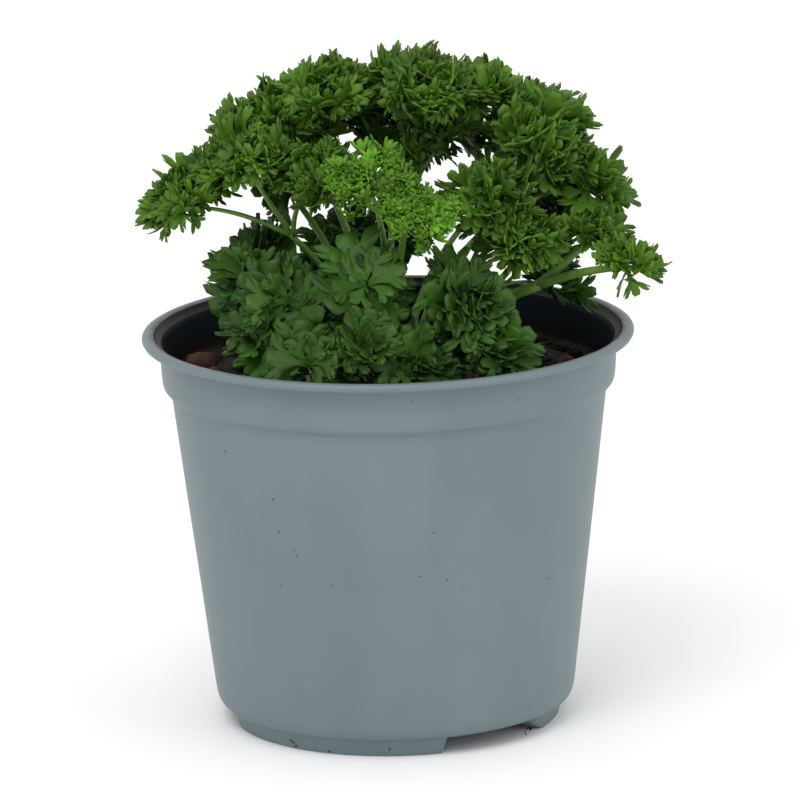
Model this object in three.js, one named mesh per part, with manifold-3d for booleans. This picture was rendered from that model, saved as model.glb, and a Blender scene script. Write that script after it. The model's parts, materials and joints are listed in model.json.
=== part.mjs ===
// Curly parsley growing in a round plastic nursery pot.
// Millimetres, +Z up. The origin is on the pot's axis, in the plane that its feet stand on.
// -Y is the front, and every angle below is measured in degrees from the front towards +X.

import * as THREE from "three";
import Module from "manifold-3d";
import { mergeVertices } from "three/addons/utils/BufferGeometryUtils.js";

const wasm = await Module();
wasm.setup();

// ---- driving dimensions ----

const POT_HEIGHT = 105;
const LIP_RADIUS = 65;
const LIP_WIDTH = 3.1;
const LIP_THICKNESS = 2.4;
const WALL = 0.9;
const COLLAR_TOP_RADIUS = 60.7;
const COLLAR_FOOT_RADIUS = 59.9;
const COLLAR_FOOT_Z = 91.5;
const SHOULDER_DROP = 2.2;
const BODY_TOP_RADIUS = 57.5;
const BODY_FOOT_RADIUS = 47.6;
const BASE_ROUND = 3.2;
const FOOT_HEIGHT = 4.7;
const FOOT_RADIUS = 43.6;
const FOOT_WIDTH = 6.2;
const FOOT_GAPS = [[20, 60], [145, 175], [260, 285]];
const DRAIN_HOLES = 6;
const DRAIN_RADIUS = 4.5;
const DRAIN_RING_RADIUS = 25;
const POT_SEGMENTS = 72;

const SOIL_TOP_Z = 92.4;
const SOIL_SEGMENTS = 36;
const STEM_DEPTH_IN_SOIL = 4;
const GAP = 0.3;
const SLIVER = 0.01;

const PETIOLE_SIDES = 6;
const PETIOLE_STEPS = 5;
const STALK_SIDES = 5;
const STALK_STEPS = 3;
const STALK_RADIUS = 0.55;
const FORK_SHARE = 0.62;
const LEAF_SEGMENTS = 18;
const LEAF_THICKNESS = 1.1;

// ---- finishes ----

const finish = (color, roughness) => new THREE.MeshStandardMaterial({ color, roughness, metalness: 0 });
const potPlastic = finish(0x8a9ca0, 0.45);
const pottingSoil = finish(0x1c120c, 0.95);
const clayLump = finish(0x4a2c1e, 0.9);
const petioleGreen = finish(0x5f8f2e, 0.5);
const youngStemGreen = finish(0x7fae3a, 0.5);
const leafGreen = finish(0x2f6a1f, 0.55);
const lowLeafGreen = finish(0x2c6230, 0.55);
const youngLeafGreen = finish(0x5c9a26, 0.55);

// ---- the plant ----

// Each frond is one petiole with its leaf clusters. base is where the petiole leaves the soil.
// A leaf's at is the middle of its blade, r its radius and faces the way that its upper side looks.
const FRONDS = [
  {
    name: "left", base: [-7, 1], radius: 1.3, green: petioleGreen, blade: leafGreen,
    leaves: [
      { at: [-56.5, -6, 140], r: 15, faces: [-0.5, -0.3, 1], curl: 1.0 },
      { at: [-36, -14, 154], r: 13, faces: [-0.6, -0.45, 1], curl: 1.6 },
      { at: [-17.5, -20, 152], r: 12, faces: [0, -0.55, 1], curl: 1.6 },
    ],
  },
  {
    name: "upper_left", base: [-4, 7], radius: 1.2, green: petioleGreen, blade: leafGreen,
    leaves: [
      { at: [-32.5, 8.5, 162.5], r: 13, faces: [-0.5, -0.1, 1], curl: 1.6 },
      { at: [-14, 5, 169], r: 12, faces: [-0.2, -0.2, 1], curl: 1.6 },
    ],
  },
  {
    name: "top", base: [1, 3], radius: 1.2, green: petioleGreen, blade: leafGreen,
    leaves: [
      { at: [6, 13, 173], r: 11.5, faces: [0.05, 0.15, 1], curl: 1.6 },
      { at: [11.5, -9, 173], r: 12, faces: [0, -0.5, 1], curl: 1.8 },
      { at: [26, 5, 167.5], r: 12, faces: [0.3, -0.1, 1], curl: 1.6 },
    ],
  },
  {
    name: "upper_right", base: [7, 6], radius: 1.3, green: petioleGreen, blade: leafGreen,
    leaves: [
      { at: [43.5, 14, 160], r: 13, faces: [0.4, 0.15, 1], curl: 1.6 },
      { at: [42, -8, 154.5], r: 13, faces: [0.35, -0.5, 1], curl: 1.4 },
      { at: [60, 2, 146], r: 12.5, faces: [0.8, -0.1, 1], curl: 1.2 },
    ],
  },
  {
    name: "middle_right", base: [6, -4], radius: 1.1, green: petioleGreen, blade: leafGreen,
    leaves: [
      { at: [24, -25, 147.5], r: 13, faces: [0.1, -0.9, 0.8], curl: 1.0 },
      { at: [37, -26, 134], r: 10, faces: [0.5, -0.8, 0.6], curl: 0.9 },
    ],
  },
  {
    name: "far_right", base: [11, 1], radius: 1.5, green: petioleGreen, blade: leafGreen,
    leaves: [
      { at: [53.5, -14, 132.5], r: 8, faces: [0.2, -0.3, 1], curl: 1.1 },
      { at: [63, -27, 127.5], r: 8.5, faces: [0.5, -0.5, 1], curl: 1.1 },
    ],
  },
  {
    name: "young", base: [-3.5, -6], radius: 1.1, green: youngStemGreen, blade: youngLeafGreen,
    leaves: [
      { at: [-4.5, -33, 153], r: 13, faces: [-0.15, -0.65, 1], curl: 2.2 },
      { at: [10, -38.5, 144], r: 10, faces: [0.2, -0.7, 0.9], curl: 2.2 },
    ],
  },
  {
    name: "front", base: [0, -9.5], radius: 1.0, green: petioleGreen, blade: lowLeafGreen,
    leaves: [
      { at: [-5.5, -43, 128], r: 13.5, faces: [0, -0.9, 0.75], curl: 0.5 },
      { at: [-6, -50, 113], r: 7, faces: [0.1, -0.9, 0.6], curl: 0.5 },
    ],
  },
  {
    name: "lower_left", base: [-9, -4], radius: 1.2, green: petioleGreen, blade: lowLeafGreen,
    leaves: [
      { at: [-25.5, -36, 121], r: 12, faces: [-0.4, -0.9, 0.8], curl: 0.6 },
      { at: [-40.5, -20, 123], r: 11, faces: [-0.8, -0.6, 0.7], curl: 0.6 },
      { at: [-40, -34, 111], r: 9, faces: [-0.7, -0.8, 0.8], curl: 0.5 },
    ],
  },
  {
    name: "low_front_left", base: [-5.5, -11.5], radius: 0.8, green: youngStemGreen, blade: leafGreen,
    leaves: [{ at: [-21, -49.5, 107.5], r: 10, faces: [-0.2, -0.9, 0.7], curl: 0.5 }],
  },
  {
    name: "lower_right", base: [4, -9], radius: 1.0, green: petioleGreen, blade: lowLeafGreen,
    leaves: [
      { at: [20, -38, 121.5], r: 12.5, faces: [0.2, -0.9, 0.7], curl: 1.0 },
      { at: [29.5, -43, 107.5], r: 9, faces: [0.4, -0.8, 0.7], curl: 0.6 },
    ],
  },
  {
    name: "low_front", base: [3, -14], radius: 0.8, green: petioleGreen, blade: lowLeafGreen,
    leaves: [{ at: [7.5, -50, 105.5], r: 10, faces: [0.1, -0.8, 0.7], curl: 0.4 }],
  },
  {
    name: "middle_left", base: [-12.5, 3], radius: 0.9, green: petioleGreen, blade: lowLeafGreen,
    leaves: [{ at: [-36, 4, 125.5], r: 10.5, faces: [-0.7, -0.4, 0.9], curl: 0.7 }],
  },
  {
    name: "low_right", base: [9, 11], radius: 0.8, green: petioleGreen, blade: lowLeafGreen,
    leaves: [
      { at: [48.5, 10, 132.5], r: 8.5, faces: [0.4, -0.3, 1], curl: 1.2 },
      { at: [45, 22, 112.5], r: 10, faces: [0.5, 0.1, 1], curl: 0.8 },
    ],
  },
  {
    name: "back_left", base: [-7, 11.5], radius: 1.2, green: petioleGreen, blade: leafGreen,
    leaves: [{ at: [-32.5, 29, 152], r: 14, faces: [-0.5, 0.6, 1], curl: 1.6 }],
  },
  {
    name: "back", base: [0, 12.5], radius: 1.2, green: petioleGreen, blade: leafGreen,
    leaves: [
      { at: [-6.5, 37, 158.5], r: 13, faces: [-0.1, 0.7, 1], curl: 1.6 },
      { at: [15, 40, 154.5], r: 13.5, faces: [0.1, 0.8, 1], curl: 1.6 },
    ],
  },
  {
    name: "back_right", base: [5, 14.5], radius: 1.1, green: petioleGreen, blade: leafGreen,
    leaves: [{ at: [35.5, 34, 146.5], r: 13.5, faces: [0.5, 0.7, 0.9], curl: 1.5 }],
  },
  {
    name: "low_back", base: [-3, 17], radius: 0.8, green: petioleGreen, blade: lowLeafGreen,
    leaves: [{ at: [-12.5, 43, 117], r: 12.5, faces: [-0.2, 0.9, 0.8], curl: 0.6 }],
  },
];

// Clay and bark lumps on the soil: middle on the soil's surface, and size along each axis.
const LUMPS = [
  { at: [-49.5, 8], size: [9, 8, 7] },
  { at: [-46.5, -8.5], size: [8.5, 7.5, 6.5] },
  { at: [-35, -16], size: [9.5, 8, 7] },
  { at: [47, 2], size: [6.5, 6, 4.5] },
  { at: [29, 36], size: [8, 7, 6] },
];

// ---- solids ----

function solidOf(geometry) {
  const bare = geometry.clone();
  for (const extra of ["normal", "uv"]) bare.deleteAttribute(extra);
  const merged = mergeVertices(bare, 1e-4);
  const mesh = new wasm.Mesh({
    numProp: 3,
    vertProperties: new Float32Array(merged.attributes.position.array),
    triVerts: new Uint32Array(merged.index.array),
  });
  return new wasm.Manifold(mesh);
}

function geometryOf(solid) {
  const mesh = solid.simplify(SLIVER).getMesh();
  const geometry = new THREE.BufferGeometry();
  geometry.setAttribute("position", new THREE.BufferAttribute(mesh.vertProperties, 3));
  geometry.setIndex(new THREE.BufferAttribute(mesh.triVerts, 1));
  geometry.computeVertexNormals();
  return geometry;
}

function addPiece(group, name, geometry, material) {
  const mesh = new THREE.Mesh(geometry, material);
  mesh.name = name;
  group.add(mesh);
}

// A body of revolution about Z, from a profile of [radius, height] points.
function turned(profile, segments) {
  const lathe = new THREE.LatheGeometry(profile.map(([r, z]) => new THREE.Vector2(r, z)), segments);
  return lathe.rotateX(Math.PI / 2);
}

// ---- pot ----

// The wall's outer line from the foot ring to the underside of the lip, moved inwards by inset.
function wallLine(inset) {
  const floor = FOOT_HEIGHT + inset;
  const corner = BODY_FOOT_RADIUS - inset;
  return [
    [corner - BASE_ROUND, floor],
    [corner - BASE_ROUND * 0.3, floor + BASE_ROUND * 0.3],
    [corner, floor + BASE_ROUND],
    [BODY_TOP_RADIUS - inset, COLLAR_FOOT_Z - SHOULDER_DROP + inset],
    [COLLAR_FOOT_RADIUS - inset - 0.4, COLLAR_FOOT_Z - SHOULDER_DROP * 0.35 + inset],
    [COLLAR_FOOT_RADIUS - inset, COLLAR_FOOT_Z + inset],
    [COLLAR_TOP_RADIUS - inset, POT_HEIGHT - LIP_THICKNESS],
  ];
}

// The foot ring's line from its inner side to its outer side, moved into the plastic by inset.
function footLine(inset) {
  return [
    [FOOT_RADIUS - FOOT_WIDTH - 0.5 + inset, FOOT_HEIGHT + inset],
    [FOOT_RADIUS - FOOT_WIDTH + inset, inset],
    [FOOT_RADIUS - inset, inset],
  ];
}

function makePot() {
  const lipBottom = POT_HEIGHT - LIP_THICKNESS;
  const profile = [
    [0, FOOT_HEIGHT],
    ...footLine(0),
    ...wallLine(0),
    [LIP_RADIUS - 0.6, lipBottom],
    [LIP_RADIUS, lipBottom + 0.7],
    [LIP_RADIUS - 0.3, POT_HEIGHT - 0.4],
    [LIP_RADIUS - 1.3, POT_HEIGHT],
    [LIP_RADIUS - LIP_WIDTH, POT_HEIGHT],
    ...wallLine(WALL).reverse(),
    ...footLine(WALL).reverse(),
    [0, FOOT_HEIGHT + WALL],
  ];
  const shell = turned(profile, POT_SEGMENTS);
  const spots = shell.attributes.position;
  for (let i = 0; i < spots.count; i++) {
    const angle = THREE.MathUtils.radToDeg(Math.atan2(spots.getY(i), spots.getX(i))) + 90;
    const inGap = FOOT_GAPS.some(([from, to]) => (angle - from + 720.5) % 360 < to - from + 1);
    if (inGap && spots.getZ(i) < WALL + 0.01) spots.setZ(i, spots.getZ(i) + FOOT_HEIGHT);
  }
  let pot = solidOf(shell);
  for (let hole = 0; hole < DRAIN_HOLES; hole++) {
    const angle = ((hole + 0.5) / DRAIN_HOLES) * 2 * Math.PI;
    const drill = new THREE.CylinderGeometry(DRAIN_RADIUS, DRAIN_RADIUS, 4, 12).rotateX(Math.PI / 2);
    drill.translate(DRAIN_RING_RADIUS * Math.cos(angle), DRAIN_RING_RADIUS * Math.sin(angle), FOOT_HEIGHT);
    pot = pot.subtract(solidOf(drill));
  }
  return pot;
}

// ---- petioles and leaves ----

const vec = (a) => new THREE.Vector3(...a);

function tube(path, radius, sides, steps) {
  const section = new THREE.Shape();
  for (let side = 0; side < sides; side++) {
    const angle = (side / sides) * 2 * Math.PI;
    const point = [radius * Math.cos(angle), radius * Math.sin(angle)];
    if (side) section.lineTo(...point);
    else section.moveTo(...point);
  }
  section.closePath();
  return new THREE.ExtrudeGeometry(section, { steps, extrudePath: path, bevelEnabled: false });
}

// The point of a petiole where the stalks of its leaves part.
function forkOf(frond) {
  const middle = new THREE.Vector3();
  for (const leaf of frond.leaves) middle.add(vec(leaf.at));
  middle.divideScalar(frond.leaves.length);
  const base = new THREE.Vector3(...frond.base, SOIL_TOP_Z);
  const fork = base.clone().lerp(middle, FORK_SHARE);
  return fork.setZ(fork.z + (middle.z - base.z) * 0.08);
}

// Where a leaf's stalk meets the underside of its blade.
function heelOf(leaf) {
  const under = LEAF_THICKNESS / 2 + GAP + 0.25;
  return vec(leaf.at).addScaledVector(vec(leaf.faces).normalize(), -under);
}

function petioleOf(frond, depth) {
  const base = new THREE.Vector3(...frond.base, SOIL_TOP_Z - depth);
  const fork = forkOf(frond);
  const lift = new THREE.Vector3(base.x, base.y, SOIL_TOP_Z + (fork.z - SOIL_TOP_Z) * 0.55);
  return new THREE.QuadraticBezierCurve3(base, lift, fork);
}

function makeStem(frond) {
  const fork = forkOf(frond);
  const petiole = petioleOf(frond, STEM_DEPTH_IN_SOIL);
  let stem = solidOf(tube(petiole, frond.radius, PETIOLE_SIDES, PETIOLE_STEPS));
  const along = petiole.getTangent(1);
  for (const leaf of frond.leaves) {
    const heel = heelOf(leaf);
    const start = fork.clone().addScaledVector(along, -0.6);
    const reach = heel.distanceTo(start);
    const bend = start.clone().addScaledVector(along, reach * 0.3).lerp(heel, 0.35);
    bend.z += reach * 0.06;
    const stalk = new THREE.QuadraticBezierCurve3(start, bend, heel);
    stem = stem.add(solidOf(tube(stalk, STALK_RADIUS, STALK_SIDES, STALK_STEPS)));
  }
  return stem;
}

// A leaf cluster: a round blade with eight toothed lobes, domed, with its edge waved up and down.
function makeLeaf(leaf) {
  const middle = 0.55;
  const half = LEAF_THICKNESS / 2;
  const blade = turned([[0, -half], [middle, -half], [1, 0], [middle, half], [0, half]], LEAF_SEGMENTS);
  const spots = blade.attributes.position;
  const toothed = [1, 0.86, 0.72];
  for (let i = 0; i < spots.count; i++) {
    const x = spots.getX(i);
    const y = spots.getY(i);
    const share = Math.hypot(x, y);
    const step = Math.round((Math.atan2(y, x) / (2 * Math.PI) + 1) * LEAF_SEGMENTS) % LEAF_SEGMENTS;
    const lobe = share > 0.8 ? toothed[step % 3] : 1;
    const wave = leaf.curl * share * share * (step % 2 ? 0.4 : -0.3);
    const dome = 0.2 * leaf.r * (1 - share * share) - 0.1 * leaf.r;
    spots.setXYZ(i, x * lobe * leaf.r, y * lobe * leaf.r, spots.getZ(i) + dome + wave);
  }
  const turn = new THREE.Quaternion().setFromUnitVectors(
    new THREE.Vector3(0, 0, 1),
    vec(leaf.faces).normalize(),
  );
  return geometryOf(solidOf(blade)).applyQuaternion(turn).translate(...leaf.at);
}

// ---- lumps and soil ----

function makeLump(lump, index) {
  const stone = new THREE.IcosahedronGeometry(0.5, 1);
  const spots = stone.attributes.position;
  for (let i = 0; i < spots.count; i++) {
    const p = new THREE.Vector3().fromBufferAttribute(spots, i);
    const rough = 1 + 0.09 * Math.sin(7 * p.x + index) + 0.09 * Math.sin(8 * p.y + 5 * p.z + 2 * index);
    p.multiplyScalar(rough).multiply(vec(lump.size));
    spots.setXYZ(i, p.x, p.y, p.z);
  }
  return stone.rotateZ(index * 0.9).translate(...lump.at, SOIL_TOP_Z + lump.size[2] * 0.22);
}

function soilHeight(x, y) {
  const mound = 1.6 * Math.exp(-(x * x + y * y) / 500);
  return SOIL_TOP_Z + mound + 0.5 * Math.sin(x * 0.21 + 1) * Math.cos(y * 0.19);
}

function makeSoil(spaces) {
  const [corner, , foot, shoulder] = wallLine(WALL + GAP);
  const profile = [[0, corner[1]], corner, foot, shoulder];
  for (const ring of [54.6, 42, 28, 14, 0]) profile.push([ring, SOIL_TOP_Z]);
  const ground = turned(profile, SOIL_SEGMENTS);
  const spots = ground.attributes.position;
  for (let i = 0; i < spots.count; i++) {
    if (spots.getZ(i) < SOIL_TOP_Z - 0.01) continue;
    spots.setZ(i, soilHeight(spots.getX(i), spots.getY(i)));
  }
  let soil = solidOf(ground);
  for (const space of spaces) soil = soil.subtract(space);
  return soil.decompose().sort((a, b) => b.volume() - a.volume())[0];
}

// The hole that a petiole stands in, wider than it by the gap.
function socketFor(frond) {
  const path = petioleOf(frond, STEM_DEPTH_IN_SOIL + GAP);
  return solidOf(tube(path, frond.radius + GAP + 0.15, PETIOLE_SIDES, PETIOLE_STEPS));
}

// The same lump, larger all round by the gap.
function bedFor(lump, index) {
  const grown = { at: lump.at, size: lump.size.map((s) => s + 2 * GAP + 0.3) };
  const bed = makeLump(grown, index);
  return solidOf(bed.translate(0, 0, lump.size[2] * 0.22 - grown.size[2] * 0.22));
}

// ---- the whole thing ----

const plant = new THREE.Group();

addPiece(plant, "pot", geometryOf(makePot()), potPlastic);
const spaces = [...FRONDS.map(socketFor), ...LUMPS.map(bedFor)];
addPiece(plant, "potting_soil", geometryOf(makeSoil(spaces)), pottingSoil);
LUMPS.forEach((lump, index) => {
  addPiece(plant, `clay_lump_${index + 1}`, makeLump(lump, index), clayLump);
});
for (const frond of FRONDS) {
  addPiece(plant, `stem_${frond.name}`, geometryOf(makeStem(frond)), frond.green);
  frond.leaves.forEach((leaf, index) => {
    const suffix = frond.leaves.length > 1 ? `_${index + 1}` : "";
    addPiece(plant, `leaf_${frond.name}${suffix}`, makeLeaf(leaf), frond.blade);
  });
}

export default plant;
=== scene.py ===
"""Curly parsley in a round nursery pot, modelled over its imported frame.

Metres, +Z up. The origin is on the pot's axis, in the plane that the feet stand on.
-Y is the front.
"""

import json
import math
import random
from collections import namedtuple

import bmesh
import bpy
import numpy as np
from mathutils import Matrix, Vector

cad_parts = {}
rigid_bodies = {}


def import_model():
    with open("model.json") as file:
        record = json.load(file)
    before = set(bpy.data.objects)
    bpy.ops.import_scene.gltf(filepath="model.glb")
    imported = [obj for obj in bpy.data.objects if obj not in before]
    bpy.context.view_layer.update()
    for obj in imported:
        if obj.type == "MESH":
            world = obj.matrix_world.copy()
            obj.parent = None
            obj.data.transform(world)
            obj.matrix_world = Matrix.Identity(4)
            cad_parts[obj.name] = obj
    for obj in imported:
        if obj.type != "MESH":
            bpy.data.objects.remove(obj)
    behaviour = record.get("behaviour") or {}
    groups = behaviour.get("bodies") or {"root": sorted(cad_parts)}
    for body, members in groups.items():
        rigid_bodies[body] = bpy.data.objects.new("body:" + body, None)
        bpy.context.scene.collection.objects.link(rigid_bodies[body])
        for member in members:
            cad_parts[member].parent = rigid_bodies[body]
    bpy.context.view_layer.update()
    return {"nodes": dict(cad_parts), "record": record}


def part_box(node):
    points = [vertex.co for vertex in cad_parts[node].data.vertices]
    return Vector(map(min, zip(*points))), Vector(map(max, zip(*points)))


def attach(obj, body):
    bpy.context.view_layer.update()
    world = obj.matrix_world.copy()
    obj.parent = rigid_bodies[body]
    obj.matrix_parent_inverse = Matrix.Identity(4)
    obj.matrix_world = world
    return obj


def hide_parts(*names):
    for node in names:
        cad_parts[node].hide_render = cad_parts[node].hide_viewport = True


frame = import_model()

bl_info = {
    "name": "Potted Parsley",
    "version": (1, 0, 0),
    "blender": (4, 5, 0),
    "location": "3D View > Sidebar > Parsley",
    "description": "Models a curly parsley plant in a round plastic nursery pot",
    "category": "Add Mesh",
}

MM = 0.001
_, POT_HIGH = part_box("pot")
SOIL_LOW, SOIL_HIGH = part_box("potting_soil")
SOIL_MOUND = 2.0 * MM
SOIL_REACH = 56.5 * MM
LIP_CLEAR = 108 * MM
# The line from the axis through the seam in the lip.
SEAM = Vector((0.777, 0.629))
SLOTS = {row["node"]: row["material_slot"] for row in frame["record"]["subparts"]}
NODES = sorted(SLOTS)


# ---- sizes and colours that a user would change ----


def length_prop(name, description, default):
    return bpy.props.FloatProperty(
        name=name, description=description, default=default, unit="LENGTH"
    )


def angle_prop(name, description, degrees):
    return bpy.props.FloatProperty(
        name=name, description=description, default=math.radians(degrees), subtype="ANGLE"
    )


def count_prop(name, description, default, least=0):
    return bpy.props.IntProperty(name=name, description=description, default=default, min=least)


def color_prop(name, description, default):
    return bpy.props.FloatVectorProperty(
        name=name, description=description, default=default, subtype="COLOR", size=3
    )


class ParsleyPotSettings(bpy.types.PropertyGroup):
    """The nursery pot."""

    lip_radius: length_prop("Lip radius", "Outer radius of the rolled lip", POT_HIGH.x)
    height: length_prop("Height", "Height of the pot from its feet to its lip", POT_HIGH.z)
    segments: count_prop("Segments", "Number of faces round the pot", 180, 36)
    outside: color_prop("Outside", "Colour of the pot's outside", (0.128, 0.172, 0.182))
    inside: color_prop("Inside", "Colour of the pot's inside", (0.0030, 0.0044, 0.0054))


class ParsleySoilSettings(bpy.types.PropertyGroup):
    """The potting soil and what lies on it."""

    crumbs: count_prop("Crumbs", "Number of loose crumbs on the soil", 900)
    fibres: count_prop("Fibres", "Number of peat fibres on the soil", 70)
    soil: color_prop("Soil", "Colour of the moist soil", (0.010, 0.0065, 0.0045))
    clay: color_prop("Clay", "Colour of the clay and bark lumps", (0.055, 0.022, 0.013))


class ParsleyPlantSettings(bpy.types.PropertyGroup):
    """The plant."""

    mature: color_prop("Mature leaves", "Colour of the curled outer leaves", (0.054, 0.132, 0.0065))
    low: color_prop("Low leaves", "Colour of the broad lower leaves", (0.027, 0.079, 0.0064))
    young: color_prop("Young leaves", "Colour of the young curled leaves", (0.076, 0.200, 0.0085))
    petiole: color_prop("Petioles", "Colour of the petioles", (0.125, 0.262, 0.036))


class ParsleyStageSettings(bpy.types.PropertyGroup):
    """The camera and the light."""

    distance: length_prop("Camera distance", "Distance from the camera to the plant", 1.992)
    elevation: angle_prop("Camera elevation", "Height of the camera above the horizon", 13.61)
    roll: angle_prop("Camera roll", "Turn of the camera about its own axis", -1.25)
    lens: bpy.props.FloatProperty(
        name="Focal length",
        description="Focal length of the camera in millimetres",
        default=338.8,
    )
    floor: color_prop("Floor", "Colour of the floor", (0.90, 0.90, 0.90))


# ---- modelling by hand: selection and growth in edit mode ----


def add_object(name, data):
    """A new object of the scene, with this mesh, curve, light or camera."""
    item = bpy.data.objects.new(name, data)
    bpy.context.scene.collection.objects.link(item)
    return item


def deselect():
    """Leave edit mode with nothing selected."""
    if bpy.context.mode != "OBJECT":
        bpy.ops.object.mode_set(mode="OBJECT")
    bpy.ops.object.select_all(action="DESELECT")


def only(*objects):
    """Select these objects alone, the first one active."""
    deselect()
    for item in objects:
        item.select_set(True)
    bpy.context.view_layer.objects.active = objects[0]


def edit(kind="EDGE"):
    bpy.ops.object.mode_set(mode="EDIT")
    bpy.ops.mesh.select_mode(type=kind)


def choose(kind, pick):
    """Select those of the edit mesh's edges or faces that pick returns, and no others."""
    mesh = bpy.context.edit_object.data
    bpy.ops.mesh.select_all(action="DESELECT")
    shape = bmesh.from_edit_mesh(mesh)
    for element in pick(getattr(shape, kind)):
        element.select_set(True)
    shape.select_flush_mode()
    bmesh.update_edit_mesh(mesh)


def choose_edges_at(points):
    """Select, for each point, the edge whose middle is nearest to it."""

    def nearest(edges):
        middles = [(edge, (edge.verts[0].co + edge.verts[1].co) / 2) for edge in edges]
        for point in points:
            yield min(middles, key=lambda pair: (pair[1] - point).length_squared)[0]

    choose("edges", nearest)


def extrude(step):
    bpy.ops.mesh.extrude_edges_move(TRANSFORM_OT_translate={"value": tuple(step)})


def turn_profile(rings, segments, wide, tall):
    """A closed shape turned from rings of (radius, height), left in edit mode.

    The shape starts as a disc of radius wide, and a ring's radius is given against the disc's.
    """
    deselect()
    bpy.ops.mesh.primitive_circle_add(
        vertices=segments, radius=wide, fill_type="TRIFAN", location=(0, 0, 0)
    )
    edit()
    radius, height = 1.0, rings[0][1]
    bpy.ops.transform.translate(value=(0, 0, height * tall))
    choose("edges", lambda edges: [edge for edge in edges if edge.is_boundary])
    for next_radius, next_height in rings:
        extrude((0, 0, (next_height - height) * tall))
        share = next_radius / radius
        bpy.ops.transform.resize(value=(share, share, 1), center_override=(0, 0, 0))
        radius, height = next_radius, next_height
    bpy.ops.mesh.merge(type="CENTER")
    bpy.ops.mesh.select_all(action="SELECT")
    bpy.ops.mesh.normals_make_consistent(inside=False)
    return bpy.context.object


def apply_modifier(item, kind, **settings):
    """Add a modifier with these settings and apply it."""
    only(item)
    modifier = item.modifiers.new(kind.lower(), kind)
    for name, value in settings.items():
        setattr(modifier, name, value)
    bpy.ops.object.modifier_apply(modifier=modifier.name)


def roughen(item, scale, depth, direction, strength, **settings):
    """Push a piece's surface in and out by a cloudy pattern of this scale."""
    cloud = bpy.data.textures.new("rough", "CLOUDS")
    cloud.noise_scale = scale
    cloud.noise_depth = depth
    settings.update(texture=cloud, texture_coords="LOCAL", direction=direction, strength=strength)
    apply_modifier(item, "DISPLACE", mid_level=0.5, **settings)


def finish_piece(item, name, nodes=(), material=None, smooth_angle=None):
    """Name a finished piece, give it its material, and place it on the plant's body."""
    item.name = name
    item.data.name = name
    only(item)
    if smooth_angle is None:
        bpy.ops.object.shade_smooth()
    else:
        bpy.ops.object.shade_smooth_by_angle(angle=math.radians(smooth_angle))
    if material is not None:
        item.data.materials.clear()
        item.data.materials.append(material)
    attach(item, "root")
    if nodes:
        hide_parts(*nodes)
    deselect()
    return item


# ---- shader maths ----


class Value:
    """One output of a material's nodes, for use in expressions."""

    def __init__(self, finish, socket):
        self.finish = finish
        self.socket = socket

    def math(self, operation, *values):
        inputs = dict(enumerate(values))
        return self.finish.node("ShaderNodeMath", {"operation": operation}, inputs)

    def __add__(self, other):
        return self.math("ADD", self, other)

    __radd__ = __add__

    def __sub__(self, other):
        return self.math("SUBTRACT", self, other)

    def __rsub__(self, other):
        return self.math("SUBTRACT", other, self)

    def __mul__(self, other):
        return self.math("MULTIPLY", self, other)

    __rmul__ = __mul__

    def root(self):
        return self.math("SQRT", self)

    def between(self, low, high):
        """0 below low, 1 above high, and smooth between them."""
        settings = {"interpolation_type": "SMOOTHSTEP"}
        return self.finish.node("ShaderNodeMapRange", settings, {0: self, 1: low, 2: high})


class Finish:
    """A material with one Principled shader, built from expressions."""

    def __init__(self, name):
        self.material = bpy.data.materials.new(name)
        self.material.use_nodes = True
        self.tree = self.material.node_tree
        self.tree.nodes.clear()
        output = self.tree.nodes.new("ShaderNodeOutputMaterial")
        self.shader = self.tree.nodes.new("ShaderNodeBsdfPrincipled")
        self.tree.links.new(self.shader.outputs[0], output.inputs[0])

    def put(self, socket, value):
        if isinstance(value, Value):
            self.tree.links.new(value.socket, socket)
        elif isinstance(value, (tuple, list)) and len(value) == 3 and socket.type == "RGBA":
            socket.default_value = (*value, 1.0)
        else:
            socket.default_value = value

    def node(self, kind, settings, inputs, output=0):
        """Add a node, set what it is, then its sockets, and return one of its outputs."""
        made = self.tree.nodes.new(kind)
        for name, value in settings.items():
            setattr(made, name, value)
        for socket, value in inputs.items():
            self.put(made.inputs[socket], value)
        return Value(self, made.outputs[output])

    def place(self):
        return self.node("ShaderNodeTexCoord", {}, {}, "Object")

    def axes(self):
        """The object coordinates as three values."""
        parts = self.tree.nodes.new("ShaderNodeSeparateXYZ")
        self.tree.links.new(self.place().socket, parts.inputs[0])
        return [Value(self, parts.outputs[axis]) for axis in range(3)]

    def noise(self, scale, detail=3.0, roughness=0.5, place=None):
        where = self.place() if place is None else place
        inputs = {"Vector": where, "Scale": scale, "Detail": detail, "Roughness": roughness}
        return self.node("ShaderNodeTexNoise", {}, inputs)

    def stretched(self, scale):
        """The object coordinates, with each axis scaled by itself."""
        return self.node("ShaderNodeMapping", {}, {"Vector": self.place(), "Scale": scale})

    def attribute(self, name):
        return self.node("ShaderNodeAttribute", {"attribute_name": name}, {}, "Fac")

    def mix(self, first, second, share):
        settings = {"data_type": "RGBA", "clamp_factor": True}
        return self.node("ShaderNodeMix", settings, {0: share, 6: first, 7: second}, 2)

    def shades(self, color, dark, pale, share):
        """A darker and a paler shade of one colour, mixed."""
        return self.mix(shade_of(color, dark), shade_of(color, pale), share)

    def bumpy(self, color, roughness, specular, height, strength, distance):
        """Set the shader to a colour, a gloss and a bump, and return the material."""
        inputs = {"Height": height, "Strength": strength, "Distance": distance}
        normal = self.node("ShaderNodeBump", {}, inputs)
        return self.set(
            base_color=color, roughness=roughness, specular_ior_level=specular, normal=normal
        )

    def set(self, **values):
        """Set the shader's sockets: base_color is Base Color, and so on."""
        for name, value in values.items():
            socket = name.replace("_", " ").title().replace("Ior", "IOR")
            self.put(self.shader.inputs[socket], value)
        return self.material


def shade_of(color, factor):
    return tuple(min(1.0, channel * factor) for channel in color)


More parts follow.
